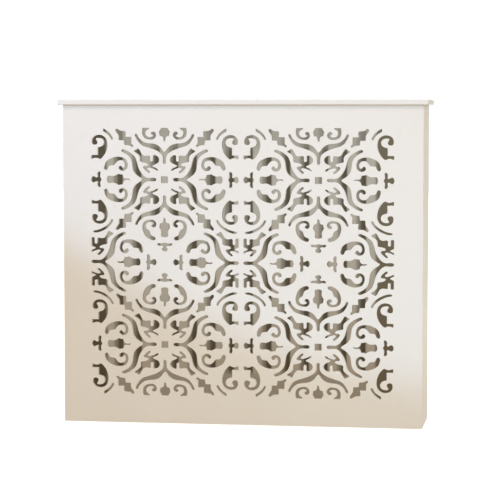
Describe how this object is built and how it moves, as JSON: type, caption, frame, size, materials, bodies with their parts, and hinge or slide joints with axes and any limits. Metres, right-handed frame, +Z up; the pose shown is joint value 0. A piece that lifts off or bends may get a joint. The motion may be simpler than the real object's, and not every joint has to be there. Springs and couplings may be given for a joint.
{
  "type": "radiator cover cabinet",
  "caption": "White board cover that stands round a radiator: scroll fretwork front, plain sides, thin shelf, open back and base.",
  "frame": {"origin": "under the middle of the whole cabinet, at floor level", "axes": "+X to the right seen from the front, +Y back towards the wall, +Z up; the fretwork front faces -Y"},
  "size_m": [0.924, 0.2, 0.807],
  "materials": {
    "white_paint": "board painted satin white",
    "pine": "raw planed pine",
    "beech": "fluted beech dowel",
    "zinc_steel": "bright zinc plate"
  },
  "bodies": {
    "root": {"front_panel": "white_paint", "side_panel_left": "white_paint", "side_panel_right": "white_paint", "top_shelf": "white_paint", "corner_batten_left": "pine", "corner_batten_right": "pine", "top_batten_front": "pine", "top_batten_left": "pine", "top_batten_right": "pine", "wall_bracket_left": "zinc_steel", "wall_bracket_right": "zinc_steel", "front_screw_left_1": "zinc_steel", "front_screw_left_2": "zinc_steel", "front_screw_left_3": "zinc_steel", "front_screw_right_1": "zinc_steel", "front_screw_right_2": "zinc_steel", "front_screw_right_3": "zinc_steel", "side_screw_left_1": "zinc_steel", "side_screw_left_2": "zinc_steel", "side_screw_left_3": "zinc_steel", "side_screw_right_1": "zinc_steel", "side_screw_right_2": "zinc_steel", "side_screw_right_3": "zinc_steel", "shelf_screw_left_1": "zinc_steel", "shelf_screw_left_2": "zinc_steel", "shelf_screw_right_1": "zinc_steel", "shelf_screw_right_2": "zinc_steel", "shelf_screw_front_1": "zinc_steel", "shelf_screw_front_2": "zinc_steel", "shelf_screw_front_3": "zinc_steel", "shelf_screw_front_4": "zinc_steel", "rim_screw_left_1": "zinc_steel", "rim_screw_left_2": "zinc_steel", "rim_screw_right_1": "zinc_steel", "rim_screw_right_2": "zinc_steel", "rim_screw_front_1": "zinc_steel", "rim_screw_front_2": "zinc_steel", "rim_screw_front_3": "zinc_steel", "bracket_screw_left_1": "zinc_steel", "bracket_screw_left_2": "zinc_steel", "bracket_screw_right_1": "zinc_steel", "bracket_screw_right_2": "zinc_steel", "front_dowel_left_1": "beech", "front_dowel_left_2": "beech", "front_dowel_right_1": "beech", "front_dowel_right_2": "beech", "shelf_dowel_left_1": "beech", "shelf_dowel_left_2": "beech", "shelf_dowel_right_1": "beech", "shelf_dowel_right_2": "beech"}
  },
  "joints": []
}
